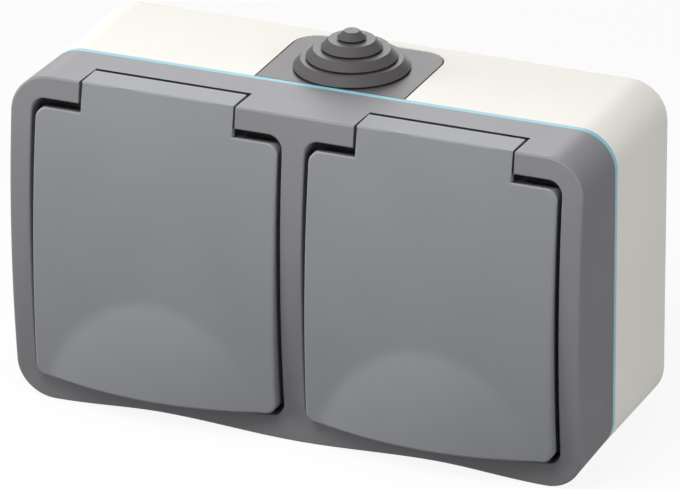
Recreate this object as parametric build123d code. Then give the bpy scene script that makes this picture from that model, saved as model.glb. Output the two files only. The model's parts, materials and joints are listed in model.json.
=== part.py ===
from build123d import *
import os
from math import hypot, radians, sqrt, tan

# Double outdoor wall socket with two sprung lids, for surface mounting.
# Millimetres. X to the right, Y into the wall, Z up.
# The origin is the middle of the back face that lies on the wall.

# Outer body
width = 140.0
height = 80.5
corner_radius = 9.0
box_depth = 31.5
gasket_thickness = 1.4
frame_depth = 18.45
front_bow = 2.8
front_edge_rounding = 0.5
rear_inset = 0.6

# Walls
box_wall = 2.5
box_floor = 2.5
box_back_rounding = 0.3
frame_wall = 2.4
gasket_width = 4.0

# Lid recesses in the frame
outlet_z = -1.0
side_rail = 5.15
pillar = 5.5
rail_top = 5.2
rail_bottom = 6.25
recess_depth = 5.5
deck_thickness = 2.2
lid_side_gap = 1.05
lid_top_gap = 1.95
lid_bottom_gap = 1.3
recess_corner = 3.5
recess_edge_rounding = 0.4
finger_rise = 1.35

# Lids
lid_sag = 0.8
lid_crest_drop = 11.5
lid_corner_top = 3.0
lid_corner_bottom = 2.6
lid_edge_rounding = 0.5
lid_wall = 2.2
lid_skirt = 1.8
lid_deck_gap = 0.5
lid_top_slope = 17.0
swell_height = 3.4
swell_side_margin = 3.4
swell_crease_rounding = 12.0

# Hinge
tongue_shoulder = 11.2
tongue_depth = 7.6
tongue_top_wall = 1.0
tongue_front_wall = 1.6
tongue_edge_rounding = 0.4
notch_side_gap = 0.6
notch_back_gap = 1.8
axis_behind_edge = 3.5
axis_below_top = 3.3
sweep_clearance = 0.5
pin_radius = 1.0
pin_seat = 2.8
pin_end_play = 0.2
pin_fit = 0.02
pin_running_clearance = 0.05
knuckle_length = 5.0
knuckle_reach = 2.6
spring_bay = 8.0

# Lid springs
spring_wire = 0.5
spring_bend_radius = 0.28
spring_pin_clearance = 0.5
spring_turns = 6
spring_pitch = 0.72
spring_tongue_gap = 1.4
spring_leg_seat = 2.0
spring_leg_clearance = 0.1

# Lid seals
seal_width = 2.4
seal_thickness = 1.8
seal_groove = 0.8
seal_side_clearance = 0.1
seal_well_gap = 0.3
seal_rib_wall = 1.0

# Plug wells
well_bore_radius = 19.5
well_depth = 17.5
well_wall = 2.3
well_floor = 2.3
well_flange = 2.0
well_skirt_clearance = 2.2
well_deck_clearance = 0.2
well_mouth_chamfer = 1.0
pin_hole_radius = 3.0
pin_hole_pitch = 19.0
guide_rib_width = 5.0
guide_rib_height = 2.3
guide_rib_setback = 3.0

# Contact bases
base_width = 48.0
base_height = 42.0
base_depth = 17.5
base_corner = 3.0
chamber_clearance = 0.3
chamber_floor = 4.5
wire_hole_radius = 2.0

# Contact clips and their terminals
strip_thickness = 0.8
clip_width = 6.0
clip_gap = 4.6
clip_pinch = 3.6
clip_flare = 5.2
clip_setback = 1.0
clip_pinch_setback = 5.0
terminal_size = 7.0
terminal_length = 8.5
terminal_offset = 14.0
terminal_hole_radius = 1.6

# Earth straps
earth_thickness = 1.0
earth_setback = 0.2
earth_bar_width = 8.0
earth_finger_width = 6.0
earth_finger_radius = 17.6
earth_finger_length = 13.0
earth_finger_bulge = 0.8
earth_finger_bulge_length = 4.5
earth_tab_width = 5.0
earth_clearance = 0.3

# Screws
well_screw_radius = 1.5
well_screw_head_radius = 3.0
well_screw_head = 2.0
well_screw_length = 12.0
base_screw_radius = 1.4
base_screw_head_radius = 2.7
base_screw_head = 2.0
base_screw_length = 22.0
base_screw_edge_x = 3.5
base_screw_edge_z = 4.0
terminal_screw_radius = 1.4
terminal_screw_head_radius = 2.4
terminal_screw_head = 1.8
terminal_screw_length = 4.5
screw_slot_width = 0.8
screw_slot_depth = 0.8
screw_clearance = 0.25
thread_clearance = 0.05
post_radius = 3.6

# Wall fixing
wall_hole_radius = 2.25
wall_hole_edge_x = 8.0
wall_hole_edge_z = 12.25
wall_boss_radius = 4.5
wall_boss_height = 2.0

# Cable gland
gland_width = 37.2
gland_depth = 28.4
gland_corner = 6.5
gland_edge_rounding = 0.3
gland_recess = 1.0
gland_lip = 2.0
gland_fit = 0.2
gland_inner_flange = 1.2
gland_cone_setback = 13.2
gland_ring_foot_radii = [13.5, 10.6, 7.1, 3.4]
gland_ring_top_radii = [11.8, 8.9, 5.4, 1.8]
gland_ring_heights = [2.45, 2.25, 2.3, 2.05]
gland_undercut = 0.5
gland_bore_radius = 9.5
gland_membrane = 1.4

# Planes along the depth, from the wall to the front
box_front = -box_depth
frame_rear = box_front - gasket_thickness
front_edge = frame_rear - frame_depth
front_crest = front_edge - front_bow
deck_front = front_edge + recess_depth
deck_back = deck_front + deck_thickness
flange_front = deck_front - well_flange
well_bottom = flange_front + well_depth
well_back = well_bottom + well_floor
base_back = well_back + base_depth
chamber_back = base_back - chamber_floor
lid_back = deck_front - lid_deck_gap
ahead = front_crest - 3 * swell_height

# Heights and the bow of the front
top = height / 2
box_top = top - rear_inset
bow_radius = (top ** 2 + front_bow ** 2) / (2 * front_bow)
recess_top = top - rail_top
recess_low = rail_bottom - top
lid_top = recess_top - lid_top_gap
lid_low = recess_low + lid_bottom_gap
lid_bow_y = (
    front_crest + bow_radius - sqrt(bow_radius ** 2 - lid_top ** 2)
    + sqrt(bow_radius ** 2 - (lid_top + lid_crest_drop) ** 2)
)

# The two outlets side by side
recess_width = (width - 2 * side_rail - pillar) / 2
outlet_pitch = recess_width + pillar
outlet_xs = {"left": -outlet_pitch / 2, "right": outlet_pitch / 2}
lid_width = recess_width - 2 * lid_side_gap
swell_half_width = lid_width / 2 - swell_side_margin
swell_ball_radius = (swell_half_width ** 2 + swell_height ** 2) / (2 * swell_height)
well_outer_radius = well_bore_radius + well_wall
well_flange_radius = lid_width / 2 - lid_skirt - well_skirt_clearance
seal_mean_radius = (well_outer_radius + well_flange_radius) / 2
base_screw_x = base_width / 2 - base_screw_edge_x
base_screw_z = base_height / 2 - base_screw_edge_z
wall_hole_x = width / 2 - wall_hole_edge_x
wall_hole_z = top - wall_hole_edge_z

# The hinge
tongue_width = lid_width - 2 * tongue_shoulder
notch_width = tongue_width + 2 * notch_side_gap
axis_y = front_edge + axis_behind_edge
axis_z = top - axis_below_top
tongue_back = front_edge + tongue_depth
notch_back = tongue_back + notch_back_gap
tongue_sweep = hypot(tongue_depth - axis_behind_edge, axis_below_top)
notch_floor = axis_z - tongue_sweep - sweep_clearance


# Shape helpers

def front_view(y):
    return Plane(origin=(0, y, 0), x_dir=(1, 0, 0), z_dir=(0, -1, 0))


def prism(outline, y_back, y_front):
    return extrude(front_view(y_back) * outline, y_back - y_front)


def across(profile, x_start, x_end):
    return extrude(Plane.YZ.offset(x_start) * profile, x_end - x_start)


def block(x_start, x_end, y_start, y_end, z_start, z_end):
    size = Box(x_end - x_start, y_end - y_start, z_end - z_start)
    return Pos((x_start + x_end) / 2, (y_start + y_end) / 2, (z_start + z_end) / 2) * size


def rod_along_y(radius, y_back, y_front, x=0.0, z=0.0):
    return prism(Pos(x, z) * Circle(radius), y_back, y_front)


def rod_along_x(radius, x_start, x_end, y, z):
    return across(Pos(y, z) * Circle(radius), x_start, x_end)


def strip_outline(points, thickness):
    # Closed outline of a bent strip whose middle line runs through the points
    sides = {1: [], -1: []}
    for i, point in enumerate(points):
        here = Vector(*point)
        runs = []
        if i > 0:
            runs.append((here - Vector(*points[i - 1])).normalized())
        if i < len(points) - 1:
            runs.append((Vector(*points[i + 1]) - here).normalized())
        normals = [Vector(-run.Y, run.X) for run in runs]
        mitre = (normals[0] + normals[-1]).normalized()
        reach = thickness / 2 / mitre.dot(normals[0])
        for side in sides:
            sides[side].append(here + mitre * reach * side)
    return make_face(Polyline(*sides[1], *reversed(sides[-1]), close=True))


def front_rim(solid):
    # Edges where the forward faces of a solid meet its side faces
    edges = [edge for face in solid.faces() if face.normal_at().Y < -0.9 for edge in face.edges()]
    return [edge for edge in edges if sum(edge.is_same(other) for other in edges) == 1]


def screw(x, y_seat, z, shank_radius, shank_length, head_radius, head_height):
    body = rod_along_y(head_radius, y_seat, y_seat - head_height, x, z)
    body += rod_along_y(shank_radius, y_seat + shank_length, y_seat, x, z)
    y_face = y_seat - head_height
    slot = block(
        x - head_radius, x + head_radius, y_face, y_face + screw_slot_depth,
        z - screw_slot_width / 2, z + screw_slot_width / 2,
    )
    return body - slot


# Outlines seen from the front

def recess_outline(half_width, z_low, z_high, low_radius, high_radius):
    # Straight sides and top, with a bottom edge that sags in the middle
    sides = Polyline((-half_width, z_low), (-half_width, z_high), (half_width, z_high), (half_width, z_low))
    bottom = ThreePointArc((half_width, z_low), (0, z_low - lid_sag), (-half_width, z_low))
    face = make_face([*sides.edges(), bottom.edge()])
    face = fillet(face.vertices().sort_by(Axis.Y)[-2:], high_radius)
    return fillet(face.vertices().group_by(Axis.Y)[0], low_radius)


def frame_outline(half_height, rise):
    # Rounded rectangle whose bottom edge rises in a soft wave under each lid
    half_width = width / 2
    shoulder_x = half_width - corner_radius
    shoulder_z = half_height - corner_radius
    diagonal = corner_radius * sqrt(0.5)

    def corner(x_side, z_side, flip):
        ends = [
            (x_side * half_width, z_side * shoulder_z),
            (x_side * (shoulder_x + diagonal), z_side * (shoulder_z + diagonal)),
            (x_side * shoulder_x, z_side * half_height),
        ]
        return ThreePointArc(*(reversed(ends) if flip else ends))

    wave = [
        (shoulder_x, -half_height), (outlet_pitch / 2, rise - half_height), (0, -half_height),
        (-outlet_pitch / 2, rise - half_height), (-shoulder_x, -half_height),
    ]
    edges = [
        Line((-half_width, -shoulder_z), (-half_width, shoulder_z)),
        corner(-1, 1, False),
        Line((-shoulder_x, half_height), (shoulder_x, half_height)),
        corner(1, 1, True),
        Line((half_width, shoulder_z), (half_width, -shoulder_z)),
        corner(1, -1, False),
        Spline(*wave, tangents=[(-1, 0)] * len(wave)),
        corner(-1, -1, True),
    ]
    return make_face([line.edge() for line in edges])


# Front of the lids

def lid_surface_y(z):
    # Bowed like the frame, level with it at the lid's top and standing out towards the bottom
    return lid_bow_y - sqrt(bow_radius ** 2 - (z + lid_crest_drop) ** 2)


def lid_front_body(inset):
    # Everything behind the lid's front face, with the finger swelling as part of a ball
    reach = recess_width / 2
    ball_z = lid_low - lid_sag
    ball_y = lid_surface_y(ball_z) - swell_height + swell_ball_radius
    ball = Pos(0, ball_y, ball_z) * Sphere(swell_ball_radius - inset)
    ball &= block(-reach, reach, ahead, lid_back, -top, 0)
    sheet = rod_along_x(bow_radius - inset, -reach, reach, lid_bow_y, -lid_crest_drop)
    return (sheet & block(-reach, reach, ahead, 0, -top, top)) + ball


def lid_skin():
    # The outer front of the lid, with a soft crease round the swelling
    body = lid_front_body(0)
    swelling = body.faces().filter_by(GeomType.SPHERE)[0]
    return fillet(swelling.edges().sort_by(Axis.Z)[-1], swell_crease_rounding)


# Housing

def rear_outline(inset):
    # Rounded rectangle that the box, its gasket and the rear of the frame share
    return RectangleRounded(width - 2 * inset, 2 * (box_top - inset), corner_radius - inset)


def make_back_box():
    body = prism(rear_outline(0), 0, box_front)
    body = fillet(body.faces().sort_by(Axis.Y)[-1].edges(), box_back_rounding)
    body -= prism(rear_outline(box_wall), -box_floor, box_front)
    for x in outlet_xs.values():
        for side in (1, -1):
            post_x = x + side * base_screw_x
            post_z = outlet_z + side * base_screw_z
            body += rod_along_y(post_radius, -box_floor, base_back, post_x, post_z)
            pilot_end = well_back + base_screw_length + screw_clearance
            body -= rod_along_y(base_screw_radius + thread_clearance, pilot_end, base_back, post_x, post_z)
    for x in (-wall_hole_x, wall_hole_x):
        for z in (-wall_hole_z, wall_hole_z):
            body += rod_along_y(wall_boss_radius, -box_floor, -box_floor - wall_boss_height, x, z)
            body -= rod_along_y(wall_hole_radius, 0, -box_floor - wall_boss_height, x, z)
    body -= gland_slab(0, box_top - gland_recess, box_top)
    return body - gland_slab(gland_lip, box_top - box_wall, box_top)


def gland_slab(inset, z_low, z_high):
    # U-shaped plate that starts at the rim of the box and has round rear corners
    rear = box_front + gland_depth - inset
    half_width = gland_width / 2 - inset
    plan = Pos(0, (box_front + rear) / 2) * Rectangle(2 * half_width, rear - box_front)
    plan = fillet(plan.vertices().group_by(Axis.Y)[-1], gland_corner - inset)
    return extrude(Plane.XY.offset(z_low) * plan, z_high - z_low)


def make_cable_gland():
    wall_inside = box_top - box_wall
    body = gland_slab(gland_fit, box_top - gland_recess, box_top)
    body = fillet(body.faces().sort_by(Axis.Z)[-1].edges(), gland_edge_rounding)
    body += gland_slab(gland_lip + gland_fit, wall_inside, box_top - gland_recess)
    body += gland_slab(gland_lip / 2, wall_inside - gland_inner_flange, wall_inside)
    points = [(0, box_top)]
    z = box_top
    for foot, crown, rise in zip(gland_ring_foot_radii, gland_ring_top_radii, gland_ring_heights):
        points += [(foot - gland_undercut, z), (foot - gland_undercut, z + gland_undercut)]
        points += [(foot, z + gland_undercut), (crown, z + rise)]
        z += rise
    cone = make_face(Polyline(*points, (0, z), close=True))
    floor_z = wall_inside - gland_inner_flange
    bore_tip = gland_ring_top_radii[-1] - gland_undercut
    bore = make_face(Polyline(
        (0, floor_z), (gland_bore_radius, floor_z), (gland_bore_radius, box_top),
        (bore_tip, z - gland_membrane), (0, z - gland_membrane), close=True,
    ))
    middle = Pos(0, box_front + gland_cone_setback, 0)
    body += middle * revolve(Plane.XZ * cone, Axis.Z)
    return body - middle * revolve(Plane.XZ * bore, Axis.Z)


def make_box_gasket():
    return prism(rear_outline(0) - rear_outline(gasket_width), box_front, frame_rear)


def make_front_frame():
    # The top and bottom faces lean outwards from the gasket to the front edge
    stretch = (frame_rear - ahead) / frame_depth
    rear_section = front_view(frame_rear) * frame_outline(box_top, 0)
    front_section = front_view(ahead) * frame_outline(
        box_top + rear_inset * stretch, finger_rise * stretch
    )
    body = loft([rear_section, front_section], ruled=True)
    body &= rod_along_x(bow_radius, -width, width, front_crest + bow_radius, 0)
    body = fillet(body.faces().sort_by(Axis.Y)[0].outer_wire().edges(), front_edge_rounding)

    recess = recess_outline(recess_width / 2, recess_low, recess_top, recess_corner, recess_corner)
    for x in outlet_xs.values():
        body -= Pos(x, 0, 0) * prism(recess, deck_front, ahead)
    recess_rims = body.faces().sort_by(Axis.Y)[0].inner_wires()
    body = fillet(recess_rims.edges(), recess_edge_rounding)

    cavity_front = notch_back + frame_wall
    body -= prism(rear_outline(frame_wall), frame_rear, cavity_front)
    cavity_x = width / 2 - frame_wall
    body -= block(
        -cavity_x, cavity_x, deck_back, cavity_front, frame_wall + rail_top - top, notch_floor - frame_wall
    )

    half_notch = notch_width / 2
    seat = half_notch + pin_seat + pin_end_play
    for x in outlet_xs.values():
        body -= block(x - half_notch, x + half_notch, ahead, notch_back, notch_floor, top + rear_inset)
        body -= rod_along_y(well_outer_radius + well_deck_clearance, deck_back, deck_front, x, outlet_z)
        body -= rod_along_x(pin_radius + pin_fit, x - seat, x + seat, axis_y, axis_z)
        leg_y, leg_z = spring_leg_place()
        leg_end = half_notch + spring_leg_seat + spring_leg_clearance
        body -= rod_along_x(
            spring_wire / 2 + spring_leg_clearance, x - leg_end, x - half_notch, leg_y, leg_z
        )
    return body


# Lids and their hinges

def spring_mean_radius():
    return pin_radius + spring_pin_clearance + spring_wire / 2


def spring_leg_place():
    # Both straight legs lie above the pin
    return axis_y, axis_z + spring_mean_radius()


def make_lid():
    half_tongue = tongue_width / 2
    skin = lid_skin()
    outline = recess_outline(lid_width / 2, lid_low, lid_top, lid_corner_bottom, lid_corner_top)
    body = fillet(front_rim(prism(outline, lid_back, ahead) & skin), lid_edge_rounding)
    slope = tan(radians(lid_top_slope))
    edge_y = lid_surface_y(lid_top)
    slope_drop = (lid_back - edge_y) * slope
    rise = (edge_y - ahead) * slope
    wedge = make_face(Polyline(
        (ahead, lid_top + rise), (ahead, top), (0, top), (0, lid_top + edge_y * slope), close=True
    ))
    body -= across(wedge, -lid_width, lid_width)

    tongue = block(-half_tongue, half_tongue, ahead, tongue_back, lid_top - lid_wall, top) & skin
    tongue_rim = [edge for edge in front_rim(tongue) if edge.center().Z > lid_top]
    tongue = fillet(tongue_rim, tongue_edge_rounding)
    bay = block(-half_tongue, half_tongue, ahead, 0, 0, top - tongue_top_wall)
    body += tongue - (bay & lid_front_body(tongue_front_wall))
    knuckle_back = axis_y + knuckle_reach
    knuckle_low = axis_z - knuckle_reach
    knuckle_starts = [spring_bay - half_tongue, half_tongue - knuckle_length]
    for start in knuckle_starts:
        knuckle = block(start, start + knuckle_length, ahead, knuckle_back, knuckle_low, top)
        knuckle = fillet(
            knuckle.edges().filter_by(Axis.X).sort_by(lambda edge: edge.center().Z - edge.center().Y)[0],
            knuckle_reach,
        )
        body += knuckle & skin

    hollow_top = lid_top - slope_drop - lid_skirt
    hollow = recess_outline(
        lid_width / 2 - lid_skirt, lid_low + lid_skirt, hollow_top,
        lid_corner_bottom - lid_skirt / 2, lid_corner_top - lid_skirt / 2,
    )
    body -= prism(hollow, lid_back, ahead) & lid_front_body(lid_wall)

    rib_end = flange_front - seal_well_gap - seal_thickness + seal_groove
    rib_half = seal_width / 2 + seal_side_clearance + seal_rib_wall
    rib = Circle(seal_mean_radius + rib_half) - Circle(seal_mean_radius - rib_half)
    body += prism(Pos(0, outlet_z) * rib, rib_end, ahead) & lid_front_body(lid_wall / 2)
    groove_half = seal_width / 2 + seal_side_clearance
    groove = Circle(seal_mean_radius + groove_half) - Circle(seal_mean_radius - groove_half)
    body -= prism(Pos(0, outlet_z) * groove, rib_end, rib_end - seal_groove)

    body -= rod_along_x(pin_radius + pin_running_clearance, -half_tongue, half_tongue, axis_y, axis_z)
    leg_y, leg_z = spring_leg_place()
    leg_end = knuckle_starts[0] + spring_leg_seat + spring_leg_clearance
    body -= rod_along_x(
        spring_wire / 2 + spring_leg_clearance, knuckle_starts[0], leg_end, leg_y, leg_z
    )
    return body


def make_hinge_pin():
    half_length = notch_width / 2 + pin_seat
    return rod_along_x(pin_radius, -half_length, half_length, axis_y, axis_z)


def make_lid_spring():
    coil_start = spring_tongue_gap - tongue_width / 2
    coil_length = spring_turns * spring_pitch
    coil_centre = (coil_start, axis_y, axis_z)
    coil = Helix(spring_pitch, coil_length, spring_mean_radius(), center=coil_centre, direction=(1, 0, 0))
    wire_radius = spring_wire / 2
    body = sweep(Plane(coil @ 0, z_dir=coil % 0) * Circle(wire_radius), path=coil, is_frenet=True)
    frame_end = -notch_width / 2 - spring_leg_seat
    lid_end = spring_bay - tongue_width / 2 + spring_leg_seat
    for bend, leg_end in ((coil @ 0, frame_end), (coil @ 1, lid_end)):
        body += Pos(bend) * Sphere(spring_bend_radius)
        body += rod_along_x(wire_radius, *sorted([bend.X, leg_end]), *spring_leg_place())
    return body


def make_lid_seal():
    ring = Circle(seal_mean_radius + seal_width / 2) - Circle(seal_mean_radius - seal_width / 2)
    y_back = flange_front - seal_well_gap
    return prism(Pos(0, outlet_z) * ring, y_back, y_back - seal_thickness)


# Inside of each outlet

def make_socket_well():
    body = rod_along_y(well_flange_radius, deck_front, flange_front)
    body += rod_along_y(well_outer_radius, well_back, deck_front)
    body -= rod_along_y(well_bore_radius, well_bottom, flange_front)
    mouth = body.edges().filter_by(GeomType.CIRCLE).filter_by_position(Axis.Y, flange_front, flange_front)
    body = chamfer(mouth.sort_by(SortBy.RADIUS)[0], well_mouth_chamfer)
    for side in (-1, 1):
        rib_in = well_bore_radius - guide_rib_height
        rib_x = sorted([side * rib_in, side * (well_bore_radius + well_wall / 2)])
        body += block(
            *rib_x, flange_front + guide_rib_setback, well_bottom, -guide_rib_width / 2, guide_rib_width / 2
        )
        body -= rod_along_y(pin_hole_radius, well_back, well_bottom, side * pin_hole_pitch / 2)
        slot_reach = earth_finger_width / 2 + earth_clearance
        slot_in = earth_finger_radius - earth_finger_bulge - earth_clearance
        slot_out = earth_finger_radius + earth_thickness + earth_clearance
        slot_z = sorted([side * slot_in, side * slot_out])
        body -= block(-slot_reach, slot_reach, well_bottom, well_back, *slot_z)
    body -= rod_along_y(well_screw_radius + screw_clearance, well_back, well_bottom)
    return Pos(0, 0, outlet_z) * body


def make_contact_base():
    body = prism(RectangleRounded(base_width, base_height, base_corner), base_back, well_back)
    groove_back = well_back + earth_setback + earth_thickness
    groove_x = earth_bar_width / 2 + earth_clearance
    body -= block(-groove_x, groove_x, well_back, groove_back, -base_height / 2, base_height / 2)
    tab_low, tab_high = earth_tab_span()
    body -= block(
        0, base_width / 2, well_back, groove_back, tab_low - earth_clearance, tab_high + earth_clearance
    )
    chamber_x = max(clip_width, terminal_size) / 2 + chamber_clearance
    chamber_low = -(clip_flare / 2 + strip_thickness + chamber_clearance)
    chamber_high = terminal_offset + terminal_size / 2 + chamber_clearance
    terminal_y = chamber_back - terminal_length / 2
    for side in (-1, 1):
        x = side * pin_hole_pitch / 2
        body -= block(x - chamber_x, x + chamber_x, well_back, chamber_back, chamber_low, chamber_high)
        wire_way = Plane.XY.offset(chamber_high) * Pos(x, terminal_y) * Circle(wire_hole_radius)
        body -= extrude(wire_way, base_height / 2 - chamber_high)
        body -= rod_along_y(
            base_screw_radius + screw_clearance, base_back, well_back,
            side * base_screw_x, side * base_screw_z,
        )
    body -= rod_along_y(
        well_screw_radius + screw_clearance, well_bottom + well_screw_length + screw_clearance, well_back
    )
    earth_screw_end = groove_back - earth_thickness + terminal_screw_length + screw_clearance
    body -= rod_along_y(
        terminal_screw_radius + screw_clearance, earth_screw_end, well_back, base_screw_x, -base_screw_z
    )
    return Pos(0, 0, outlet_z) * body


def make_contact(side):
    # Spring clip for one plug pin, an arm behind it and the terminal block above
    tip_y = well_back + clip_setback
    pinch_y = well_back + clip_pinch_setback
    web_y = chamber_back - strip_thickness / 2
    half_strip = strip_thickness / 2
    upper = [
        (tip_y, clip_flare / 2 + half_strip), (pinch_y, clip_pinch / 2 + half_strip),
        (web_y, clip_gap / 2 + half_strip),
    ]
    lower = [(y, -z) for y, z in reversed(upper)]
    body = across(strip_outline(upper + lower, strip_thickness), -clip_width / 2, clip_width / 2)
    body += block(
        -clip_width / 2, clip_width / 2, chamber_back - strip_thickness, chamber_back, 0, terminal_offset
    )
    half_size = terminal_size / 2
    front_y = chamber_back - terminal_length
    block_low = terminal_offset - half_size
    body += block(-half_size, half_size, front_y, chamber_back, block_low, block_low + terminal_size)
    wire_way = Plane.XY.offset(block_low) * Pos(0, chamber_back - terminal_length / 2)
    body -= extrude(wire_way * Circle(terminal_hole_radius), terminal_size)
    screw_end = front_y + terminal_screw_length
    body -= rod_along_y(terminal_screw_radius + thread_clearance, screw_end, front_y, 0, terminal_offset)
    return Pos(side * pin_hole_pitch / 2, 0, outlet_z) * body


def earth_tab_span():
    return -base_screw_z - earth_tab_width / 2, -base_screw_z + earth_tab_width / 2


def make_earth_strap():
    bar_front = well_back + earth_setback
    bar_back = bar_front + earth_thickness
    finger_z = earth_finger_radius + earth_thickness / 2
    bar_y = (bar_front + bar_back) / 2
    tip_y = well_bottom - earth_finger_length
    bulge_y = tip_y + earth_finger_bulge_length / 2
    half = [
        (tip_y, finger_z), (bulge_y, finger_z - earth_finger_bulge),
        (tip_y + earth_finger_bulge_length, finger_z), (bar_y, finger_z),
    ]
    bend = half + [(y, -z) for y, z in reversed(half)]
    body = across(strip_outline(bend, earth_thickness), -earth_finger_width / 2, earth_finger_width / 2)
    bar_x = earth_bar_width / 2
    bar_z = earth_finger_radius
    body += block(-bar_x, bar_x, bar_front, bar_back, -bar_z, bar_z)
    body += block(0, base_width / 2 - earth_clearance, bar_front, bar_back, *earth_tab_span())
    body -= rod_along_y(well_screw_radius + thread_clearance, bar_back, bar_front)
    screw_hole_radius = terminal_screw_radius + thread_clearance
    body -= rod_along_y(screw_hole_radius, bar_back, bar_front, base_screw_x, -base_screw_z)
    return Pos(0, 0, outlet_z) * body


def make_well_screw():
    return screw(
        0, well_bottom, outlet_z, well_screw_radius, well_screw_length,
        well_screw_head_radius, well_screw_head,
    )


def make_base_screws():
    screws = []
    for x in outlet_xs.values():
        for side in (-1, 1):
            screws.append(screw(
                x + side * base_screw_x, well_back, outlet_z + side * base_screw_z,
                base_screw_radius, base_screw_length, base_screw_head_radius, base_screw_head,
            ))
    return Compound(children=screws)


def make_terminal_screws():
    clip_seat_y = chamber_back - terminal_length
    seats = [(side * pin_hole_pitch / 2, clip_seat_y, terminal_offset) for side in (-1, 1)]
    seats.append((base_screw_x, well_back + earth_setback, -base_screw_z))
    screws = []
    for x in outlet_xs.values():
        for seat_x, seat_y, seat_z in seats:
            screws.append(screw(
                x + seat_x, seat_y, outlet_z + seat_z, terminal_screw_radius, terminal_screw_length,
                terminal_screw_head_radius, terminal_screw_head,
            ))
    return Compound(children=screws)


# All pieces, with each outlet's own pieces moved to its place

pieces = {
    "back_box": make_back_box(),
    "cable_gland": make_cable_gland(),
    "box_gasket": make_box_gasket(),
    "front_frame": make_front_frame(),
    "base_screws": make_base_screws(),
    "terminal_screws": make_terminal_screws(),
}
outlet_pieces = {
    "lid": make_lid(),
    "hinge_pin": make_hinge_pin(),
    "lid_spring": make_lid_spring(),
    "lid_seal": make_lid_seal(),
    "socket_well": make_socket_well(),
    "contact_base": make_contact_base(),
    "line_contact": make_contact(-1),
    "neutral_contact": make_contact(1),
    "earth_strap": make_earth_strap(),
    "well_screw": make_well_screw(),
}
for side_name, side_x in outlet_xs.items():
    for piece_name, piece in outlet_pieces.items():
        pieces[f"{side_name}_{piece_name}"] = Pos(side_x, 0, 0) * piece

os.makedirs("parts", exist_ok=True)
for name, piece in pieces.items():
    export_step(piece, f"parts/{name}.step")
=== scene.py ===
import bpy
import bmesh
import json
import math
from mathutils import Matrix, Vector


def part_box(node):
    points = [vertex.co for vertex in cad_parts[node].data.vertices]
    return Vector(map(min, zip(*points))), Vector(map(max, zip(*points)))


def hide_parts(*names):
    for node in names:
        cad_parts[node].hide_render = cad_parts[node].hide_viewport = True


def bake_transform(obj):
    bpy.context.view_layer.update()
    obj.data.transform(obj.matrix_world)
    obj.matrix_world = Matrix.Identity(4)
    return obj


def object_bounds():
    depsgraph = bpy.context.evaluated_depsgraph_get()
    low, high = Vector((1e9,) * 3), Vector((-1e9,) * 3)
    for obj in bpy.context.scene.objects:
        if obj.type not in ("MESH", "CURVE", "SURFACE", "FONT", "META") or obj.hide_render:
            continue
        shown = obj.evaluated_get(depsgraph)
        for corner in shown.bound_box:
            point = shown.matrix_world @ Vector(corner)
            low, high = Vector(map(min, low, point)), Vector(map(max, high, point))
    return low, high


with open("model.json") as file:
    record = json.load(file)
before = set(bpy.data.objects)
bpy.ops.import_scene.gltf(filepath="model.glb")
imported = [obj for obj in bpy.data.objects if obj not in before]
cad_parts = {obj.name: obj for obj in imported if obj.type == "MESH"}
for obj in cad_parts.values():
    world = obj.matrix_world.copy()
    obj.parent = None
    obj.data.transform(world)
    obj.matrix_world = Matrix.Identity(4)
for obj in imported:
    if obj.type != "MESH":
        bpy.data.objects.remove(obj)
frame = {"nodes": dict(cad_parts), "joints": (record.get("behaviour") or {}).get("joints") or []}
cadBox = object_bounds()
scene = bpy.context.scene
nodes = frame["nodes"]
mm = 0.001


# Colours are written as sRGB hex and turned to linear here
def hexColour(code):
    channels = [int(code[i:i + 2], 16) / 255 for i in (1, 3, 5)]
    linear = [c / 12.92 if c <= 0.04045 else ((c + 0.055) / 1.055) ** 2.4 for c in channels]
    return (*linear, 1.0)


# One node with its settings, its own input values and the links that come into it
def addNode(tree, kind, settings=None, values=None, links=None):
    node = tree.nodes.new(kind)
    for key, value in (settings or {}).items():
        setattr(node, key, value)
    for key, value in (values or {}).items():
        node.inputs[key].default_value = value
    for key, (source, output) in (links or {}).items():
        tree.links.new(source.outputs[output], node.inputs[key])
    return node


def newMaterial(name):
    material = bpy.data.materials.new(name)
    material.use_nodes = True
    material.node_tree.nodes.clear()
    return material, material.node_tree


# A noise texture stays mostly between low and high, which are stretched to the two ends of a look
noise = {"low": 0.3, "high": 0.7, "grainDetail": 3.0, "grainRoughness": 0.6, "driftDetail": 2.0}
# Painted shade darkens the tight creases of a piece, from an occlusion term within reach in mm. Other pieces
# don't count, so a lid can open without a change. A look's "open" says how open a spot has to be, from 0 to 1,
# to stay unshaded.
creaseShade = {"colour": "#0c0c0c", "reach": 2.5, "span": 0.35, "samples": 8}
# How far sideways a normal points where the dull finish of the side walls starts and where it is full
sideWall = {"start": 0.5, "full": 0.95}
# Sockets of a colour mix, by number because those for plain values have the same names
mixSocket = {"share": 0, "unshaded": 6, "shaded": 7, "result": 2}
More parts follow.
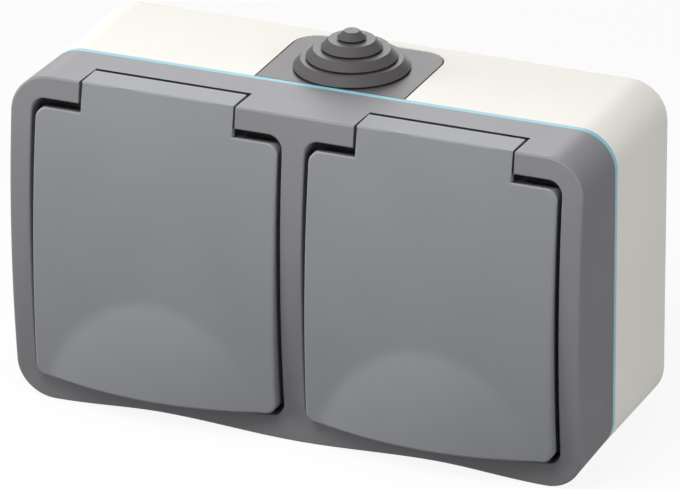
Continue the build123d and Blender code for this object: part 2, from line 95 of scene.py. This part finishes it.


# A moulded or rubber surface: grain in bump and gloss, a slow drift in colour, painted shade in the creases.
# Real mould grain is about 0.1 mm or finer, too fine to show, so it is drawn at 0.3 to 0.5 mm.
def mouldedMaterial(name, look):
    material, tree = newMaterial(name)
    place = addNode(tree, "ShaderNodeTexCoord")
    grain = addNode(
        tree, "ShaderNodeTexNoise",
        values={
            "Scale": 1 / (look["grainSize"] * mm),
            "Detail": noise["grainDetail"], "Roughness": noise["grainRoughness"],
        },
        links={"Vector": (place, "Object")},
    )
    drift = addNode(
        tree, "ShaderNodeTexNoise",
        values={"Scale": 1 / (look["driftSize"] * mm), "Detail": noise["driftDetail"]},
        links={"Vector": (place, "Object")},
    )
    colour = addNode(tree, "ShaderNodeValToRGB", links={"Fac": (drift, "Fac")})
    colour.color_ramp.elements[0].position = noise["low"]
    colour.color_ramp.elements[1].position = noise["high"]
    colour.color_ramp.elements[0].color = hexColour(look["colourLow"])
    colour.color_ramp.elements[1].color = hexColour(look["colourHigh"])
    crease = addNode(
        tree, "ShaderNodeAmbientOcclusion", {"samples": creaseShade["samples"], "only_local": True},
        {"Distance": creaseShade["reach"] * mm},
    )
    share = addNode(
        tree, "ShaderNodeMapRange",
        values={
            "From Min": look["open"] - creaseShade["span"], "From Max": look["open"],
            "To Min": 1.0, "To Max": 0.0,
        },
        links={"Value": (crease, "AO")},
    )
    # Painted shade: where the occlusion is low the colour is mixed toward near black
    creaseShaded = addNode(
        tree, "ShaderNodeMix", {"data_type": "RGBA"}, {mixSocket["shaded"]: hexColour(creaseShade["colour"])},
        {mixSocket["share"]: (share, "Result"), mixSocket["unshaded"]: (colour, "Color")},
    )
    gloss = addNode(
        tree, "ShaderNodeMapRange",
        values={
            "From Min": noise["low"], "From Max": noise["high"],
            "To Min": look["roughLow"], "To Max": look["roughHigh"],
        },
        links={"Value": (grain, "Fac")},
    )
    rough = (gloss, "Result")
    if "sideDull" in look:
        # The tool's side walls are taken to be blasted coarser than its top and front, so they shine less
        facing = addNode(tree, "ShaderNodeNewGeometry")
        parts = addNode(tree, "ShaderNodeSeparateXYZ", links={"Vector": (facing, "Normal")})
        sideways = addNode(tree, "ShaderNodeMath", {"operation": "ABSOLUTE"}, links={0: (parts, "X")})
        dull = addNode(
            tree, "ShaderNodeMapRange",
            values={
                "From Min": sideWall["start"], "From Max": sideWall["full"],
                "To Min": 0.0, "To Max": look["sideDull"],
            },
            links={"Value": (sideways, "Value")},
        )
        summed = addNode(tree, "ShaderNodeMath", {"operation": "ADD"}, links={0: rough, 1: (dull, "Result")})
        rough = (summed, "Value")
    bump = addNode(
        tree, "ShaderNodeBump",
        values={"Strength": look["grainStrength"], "Distance": look["grainDepth"] * mm},
        links={"Height": (grain, "Fac")},
    )
    shader = addNode(
        tree, "ShaderNodeBsdfPrincipled",
        values={"IOR": look["ior"], "Specular IOR Level": look["specular"]},
        links={"Base Color": (creaseShaded, mixSocket["result"]), "Roughness": rough, "Normal": (bump, "Normal")},
    )
    addNode(tree, "ShaderNodeOutputMaterial", links={"Surface": (shader, "BSDF")})
    return material


# ASA, injection moulded in a spark-eroded tool: an even satin with a soft sheen at flat angles
greyAsaLook = {
    "colourLow": "#7b7a7d", "colourHigh": "#7f7e81", "driftSize": 22, "grainSize": 0.45, "grainDepth": 0.02,
    "grainStrength": 0.25, "roughLow": 0.42, "roughHigh": 0.52, "ior": 1.51, "specular": 0.42, "open": 0.5,
    "sideDull": 0.42,
}
# The lids' ASA is a cooler grey off a finer tool: a tighter but weaker sheen, so the bow is a soft gradient
lidAsaLook = {
    "colourLow": "#84868a", "colourHigh": "#888a8e", "driftSize": 26, "grainSize": 0.4, "grainDepth": 0.015,
    "grainStrength": 0.2, "roughLow": 0.4, "roughHigh": 0.48, "ior": 1.51, "specular": 0.35, "open": 0.5,
}
# Painted shade for the ASA of the hinge notches: almost black and dull, standing in for the shade deep in the
# gap
notchShadeAsaLook = {
    "colourLow": "#151515", "colourHigh": "#1c1b1b", "driftSize": 6, "grainSize": 0.45, "grainDepth": 0.03,
    "grainStrength": 0.4, "roughLow": 0.6, "roughHigh": 0.75, "ior": 1.51, "specular": 0.3, "open": 0.5,
}
# ABS of the box, moulded in a matt tool: a warm white with little highlight
whiteAbsLook = {
    "colourLow": "#edeae3", "colourHigh": "#f1eee7", "driftSize": 30, "grainSize": 0.5, "grainDepth": 0.02,
    "grainStrength": 0.2, "roughLow": 0.5, "roughHigh": 0.6, "ior": 1.53, "specular": 0.35, "open": 0.66,
}
# PBT of the carriers behind the wells, moulded: dense, dull and slightly yellow
pbtLook = {
    "colourLow": "#d2cec2", "colourHigh": "#d8d4c9", "driftSize": 12, "grainSize": 0.4, "grainDepth": 0.02,
    "grainStrength": 0.3, "roughLow": 0.5, "roughHigh": 0.62, "ior": 1.57, "specular": 0.45, "open": 0.66,
}
# Silicone of the seals, pressed in a finely ground mould: a soft, satin light blue
blueSiliconeLook = {
    "colourLow": "#86c0d1", "colourHigh": "#90c8d8", "driftSize": 15, "grainSize": 0.3, "grainDepth": 0.01,
    "grainStrength": 0.15, "roughLow": 0.4, "roughHigh": 0.48, "ior": 1.41, "specular": 0.4, "open": 0.66,
}
# EPDM rubber of the cable gland: the flanks of the rings come dull out of a blasted mould, and darker than the
# level faces as painted shade
greyEpdmLook = {
    "colourLow": "#3b3839", "colourHigh": "#423f40", "driftSize": 8, "grainSize": 0.4, "grainDepth": 0.03,
    "grainStrength": 0.35, "roughLow": 0.6, "roughHigh": 0.72, "ior": 1.52, "specular": 0.4, "open": 0.66,
}
# The gland's plate and level ledges: the same rubber off a ground mould face, smoother, with a sheen at flat
# angles; its colour is lighter as painted light on the faces that look up
smoothLitEpdmLook = {
    "colourLow": "#4c494a", "colourHigh": "#535051", "driftSize": 8, "grainSize": 0.4, "grainDepth": 0.02,
    "grainStrength": 0.25, "roughLow": 0.36, "roughHigh": 0.45, "ior": 1.52, "specular": 0.42, "open": 0.66,
}


# Drawn or rolled metal: fine lines along the metal, lineSize in mm along X, Y and Z.
# Real lines are a few hundredths of a millimetre wide, too fine to show, so they are drawn at 0.15 to 0.2 mm.
def drawnMetal(name, look):
    material, tree = newMaterial(name)
    place = addNode(tree, "ShaderNodeTexCoord")
    stretch = addNode(
        tree, "ShaderNodeMapping",
        values={"Scale": [1 / (size * mm) for size in look["lineSize"]]}, links={"Vector": (place, "Object")},
    )
    lines = addNode(
        tree, "ShaderNodeTexNoise", values={"Scale": 1.0, "Detail": noise["grainDetail"]},
        links={"Vector": (stretch, "Vector")},
    )
    gloss = addNode(
        tree, "ShaderNodeMapRange",
        values={
            "From Min": noise["low"], "From Max": noise["high"],
            "To Min": look["roughLow"], "To Max": look["roughHigh"],
        },
        links={"Value": (lines, "Fac")},
    )
    bump = addNode(
        tree, "ShaderNodeBump",
        values={"Strength": look["lineStrength"], "Distance": look["lineDepth"] * mm},
        links={"Height": (lines, "Fac")},
    )
    shader = addNode(
        tree, "ShaderNodeBsdfPrincipled", values={"Base Color": hexColour(look["colour"]), "Metallic": 1.0},
        links={"Roughness": (gloss, "Result"), "Normal": (bump, "Normal")},
    )
    addNode(tree, "ShaderNodeOutputMaterial", links={"Surface": (shader, "BSDF")})
    return material


# Zinc-plated steel of screws, pins and springs: cool and bright with fine drawing lines
zincSteelLook = {
    "colour": "#c3c6c8", "lineSize": (2.0, 0.15, 0.15), "lineDepth": 0.01, "lineStrength": 0.3,
    "roughLow": 0.25, "roughHigh": 0.38,
}
# Rolled and stamped brass of contacts and earth straps: yellow, with lines along the strip
stampedBrassLook = {
    "colour": "#d6b067", "lineSize": (0.2, 3.0, 3.0), "lineDepth": 0.01, "lineStrength": 0.3,
    "roughLow": 0.28, "roughHigh": 0.4,
}

materials = {
    "greyAsa": mouldedMaterial("mouldedGreyAsa", greyAsaLook),
    "lidAsa": mouldedMaterial("mouldedLidAsa", lidAsaLook),
    "notchShadeAsa": mouldedMaterial("paintedShadeGreyAsa", notchShadeAsaLook),
    "whiteAbs": mouldedMaterial("mouldedWhiteAbs", whiteAbsLook),
    "pbt": mouldedMaterial("mouldedPbt", pbtLook),
    "blueSilicone": mouldedMaterial("pressedBlueSilicone", blueSiliconeLook),
    "greyEpdm": mouldedMaterial("mouldedGreyEpdm", greyEpdmLook),
    "smoothLitEpdm": mouldedMaterial("smoothLitGreyEpdm", smoothLitEpdmLook),
    "zincSteel": drawnMetal("zincPlatedSteel", zincSteelLook),
    "stampedBrass": drawnMetal("stampedBrass", stampedBrassLook),
}
print("materials made:", len(materials))

# Which finish each piece of the frame gets, by its name without left or right
finishes = {
    "back_box": "whiteAbs", "cable_gland": "greyEpdm", "box_gasket": "blueSilicone", "front_frame": "greyAsa",
    "lid": "lidAsa", "hinge_pin": "zincSteel", "lid_spring": "zincSteel", "lid_seal": "blueSilicone",
    "socket_well": "greyAsa", "contact_base": "pbt", "line_contact": "stampedBrass",
    "neutral_contact": "stampedBrass", "earth_strap": "stampedBrass", "well_screw": "zincSteel",
    "base_screws": "zincSteel", "terminal_screws": "zincSteel",
}
shading = {"sharpAngle": 25}
for name, piece in nodes.items():
    key = name.removeprefix("left_").removeprefix("right_")
    piece.data.materials.clear()
    piece.data.materials.append(materials[finishes[key]])
    piece.data.shade_smooth()
    piece.data.set_sharp_from_angle(angle=math.radians(shading["sharpAngle"]))

# The gland's plate and the level ledges of its rings are smooth and painted lighter, the flanks of the rings
# are dull and darker: painted light and shade by which way a face looks
glandLitFaces = {"levelFrom": 0.9}
gland = nodes["cable_gland"].data
gland.materials.append(materials["smoothLitEpdm"])
for face in gland.polygons:
    face.material_index = 1 if face.normal.z > glandLitFaces["levelFrom"] else 0

# The frame's wall behind each lid's tongue gets that near-black material: painted shade, the dark line of the
# gap while the lid is closed
hingeNotch = {"behindAxis": 4.0, "belowAxis": 8.0, "frontFrom": 0.9}
axisY, axisZ = frame["joints"][0]["pos_m"][1:]
front = nodes["front_frame"].data
front.materials.append(materials["notchShadeAsa"])
for face in front.polygons:
    inNotch = (
        face.normal.y < -hingeNotch["frontFrom"]
        and face.center.y > axisY + hingeNotch["behindAxis"] * mm
        and face.center.z > axisZ - hingeNotch["belowAxis"] * mm
    )
    face.material_index = 1 if inNotch else 0
print("finishes given to the frame's pieces")


# The lid springs, as coils; coilStart is counted from the middle of the hinge
spring = {
    "wireRadius": 0.25, "meanRadius": 1.75, "turns": 6, "pitch": 0.72, "coilStart": -17.4,
    "sides": 10, "stepsPerTurn": 32, "sharpAngle": 60,
}
coilLength = spring["turns"] * spring["pitch"] * mm


# A straight leg in the cheek, the coil, and a straight leg in the lid's knuckle
def springPath(low, high, coilStart, axisPoint):
    radius = spring["meanRadius"] * mm
    above = Vector((0, 0, radius))
    points = [Vector((low, axisPoint.y, axisPoint.z)) + above]
    count = spring["turns"] * spring["stepsPerTurn"]
    for i in range(count + 1):
        turn = 2 * math.pi * i / spring["stepsPerTurn"]
        points.append(Vector((
            coilStart + coilLength * i / count,
            axisPoint.y - radius * math.sin(turn),
            axisPoint.z + radius * math.cos(turn),
        )))
    points.append(Vector((high, axisPoint.y, axisPoint.z)) + above)
    return points


def wireMesh(name, points):
    mesh = bmesh.new()
    rings = []
    side = Vector((0, 1, 0))
    for i, point in enumerate(points):
        ahead = points[min(i + 1, len(points) - 1)] - points[max(i - 1, 0)]
        ahead.normalize()
        side = (side - ahead * side.dot(ahead)).normalized()
        other = ahead.cross(side)
        ring = []
        for k in range(spring["sides"]):
            angle = 2 * math.pi * k / spring["sides"]
            offset = side * math.cos(angle) + other * math.sin(angle)
            ring.append(mesh.verts.new(point + offset * spring["wireRadius"] * mm))
        rings.append(ring)
    for first, second in zip(rings, rings[1:]):
        for k in range(spring["sides"]):
            after = (k + 1) % spring["sides"]
            mesh.faces.new((first[k], first[after], second[after], second[k]))
    mesh.faces.new(list(reversed(rings[0])))
    mesh.faces.new(rings[-1])
    bmesh.ops.recalc_face_normals(mesh, faces=mesh.faces)
    data = bpy.data.meshes.new(name)
    mesh.to_mesh(data)
    mesh.free()
    data.shade_smooth()
    data.set_sharp_from_angle(angle=math.radians(spring["sharpAngle"]))
    piece = bpy.data.objects.new(name, data)
    scene.collection.objects.link(piece)
    return piece


for joint in frame["joints"]:
    side = joint["name"].split("_")[0]
    axisPoint = Vector(joint["pos_m"])
    coilStart = axisPoint.x + spring["coilStart"] * mm
    low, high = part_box(side + "_lid_spring")
    coil = wireMesh(side + "SpringCoil", springPath(low.x, high.x, coilStart, axisPoint))
    coil.data.materials.append(materials["zincSteel"])
    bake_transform(coil)
    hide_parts(side + "_lid_spring")


# Rays that show the pale background: those of the camera, and those of glossy and clear surfaces
def backgroundRays(tree):
    path = addNode(tree, "ShaderNodeLightPath")
    mirrored = addNode(
        tree, "ShaderNodeMath", {"operation": "MAXIMUM"},
        links={0: (path, "Is Glossy Ray"), 1: (path, "Is Transmission Ray")},
    )
    return addNode(
        tree, "ShaderNodeMath", {"operation": "MAXIMUM"},
        links={0: (path, "Is Camera Ray"), 1: (mirrored, "Value")},
    )


# To diffuse light the floor is a grey card. The camera and glossy or clear surfaces see pale paper on it,
# white for the most part, with the rest left to take a soft shadow.
floorLook = {
    "size": 6.0, "card": "#505050", "paper": "#f4f4f4", "white": "#ffffff", "strength": 1.0, "whiteShare": 0.9,
}
material, tree = newMaterial("paleFloor")
card = addNode(tree, "ShaderNodeBsdfDiffuse", values={"Color": hexColour(floorLook["card"])})
paper = addNode(tree, "ShaderNodeBsdfDiffuse", values={"Color": hexColour(floorLook["paper"])})
white = addNode(
    tree, "ShaderNodeEmission",
    values={"Color": hexColour(floorLook["white"]), "Strength": floorLook["strength"]},
)
seen = addNode(
    tree, "ShaderNodeMixShader", values={0: floorLook["whiteShare"]},
    links={1: (paper, "BSDF"), 2: (white, "Emission")},
)
mix = addNode(
    tree, "ShaderNodeMixShader",
    links={0: (backgroundRays(tree), "Value"), 1: (card, "BSDF"), 2: (seen, "Shader")},
)
addNode(tree, "ShaderNodeOutputMaterial", links={"Surface": (mix, "Shader")})
floorMesh = bpy.data.meshes.new("floor")
reach = floorLook["size"] / 2
floorZ = cadBox[0].z
floorMesh.from_pydata(
    [(-reach, -reach, floorZ), (reach, -reach, floorZ), (reach, reach, floorZ), (-reach, reach, floorZ)],
    [], [(0, 1, 2, 3)],
)
floorMesh.materials.append(material)
floor = bpy.data.objects.new("floor", floorMesh)
scene.collection.objects.link(floor)

# A white background that gives the part itself almost no light
worldLook = {"colour": "#ffffff", "ambient": 0.01, "background": 1.0}
world = bpy.data.worlds.new("studio")
world.use_nodes = True
world.node_tree.nodes.clear()
tree = world.node_tree
strength = addNode(
    tree, "ShaderNodeMapRange", values={"To Min": worldLook["ambient"], "To Max": worldLook["background"]},
    links={"Value": (backgroundRays(tree), "Value")},
)
sky = addNode(
    tree, "ShaderNodeBackground", values={"Color": hexColour(worldLook["colour"])},
    links={"Strength": (strength, "Result")},
)
addNode(tree, "ShaderNodeOutputWorld", links={"Surface": (sky, "Background")})
scene.world = world
print("floor and background set")

# Soft panels that all face the part, in metres; the low strip lights only the back
lamps = {
    "nearPanel": {"place": (-0.03, -0.26, 0.34), "size": 0.2, "watts": 1.2},
    "backPanel": {"place": (-0.4, 0.93, 0.45), "size": 0.6, "watts": 2.7},
    "topPanel": {"place": (0.0, 0.35, 0.95), "size": 1.0, "watts": 0.3},
    "leftPanel": {"place": (-0.9, -0.4, 0.3), "size": 0.6, "watts": 8.6},
    "rightPanel": {"place": (0.9, -0.3, 0.25), "size": 0.6, "watts": 5.0},
    "backStrip": {"place": (-0.25, 1.1, 0.0), "size": 0.6, "height": 0.07, "watts": 4.7},
}
middle = (cadBox[0] + cadBox[1]) / 2
for name, lamp in lamps.items():
    light = bpy.data.lights.new(name, "AREA")
    light.shape = "RECTANGLE"
    light.size = lamp["size"]
    light.size_y = lamp.get("height", lamp["size"])
    light.energy = lamp["watts"]
    holder = bpy.data.objects.new(name, light)
    holder.location = lamp["place"]
    holder.rotation_mode = "QUATERNION"
    holder.rotation_quaternion = (middle - Vector(lamp["place"])).to_track_quat("-Z", "Y")
    scene.collection.objects.link(holder)
print("light set:", len(lamps), "panels")

# The view was fitted to the edges of box and frame in the photograph: degrees, metres, lens in mm
view = {
    "azimuth": 23.276, "elevation": 23.782, "roll": -0.337, "distance": 1.6582,
    "aim": (0.00775, -0.04385, 0.00721), "lens": 388.26, "farthest": 20,
}
cameraData = bpy.data.cameras.new("camera")
cameraData.lens = view["lens"]
cameraData.clip_end = view["farthest"]
camera = bpy.data.objects.new("camera", cameraData)
azimuth, elevation = math.radians(view["azimuth"]), math.radians(view["elevation"])
away = Vector((
    math.sin(azimuth) * math.cos(elevation), -math.cos(azimuth) * math.cos(elevation), math.sin(elevation),
))
turn = (-away).to_track_quat("-Z", "Y").to_matrix().to_4x4()
roll = Matrix.Rotation(math.radians(view["roll"]), 4, "Z")
camera.matrix_world = Matrix.Translation(Vector(view["aim"]) + away * view["distance"]) @ turn @ roll
scene.collection.objects.link(camera)
scene.camera = camera
scene.view_settings.view_transform = "Standard"
print("camera set")
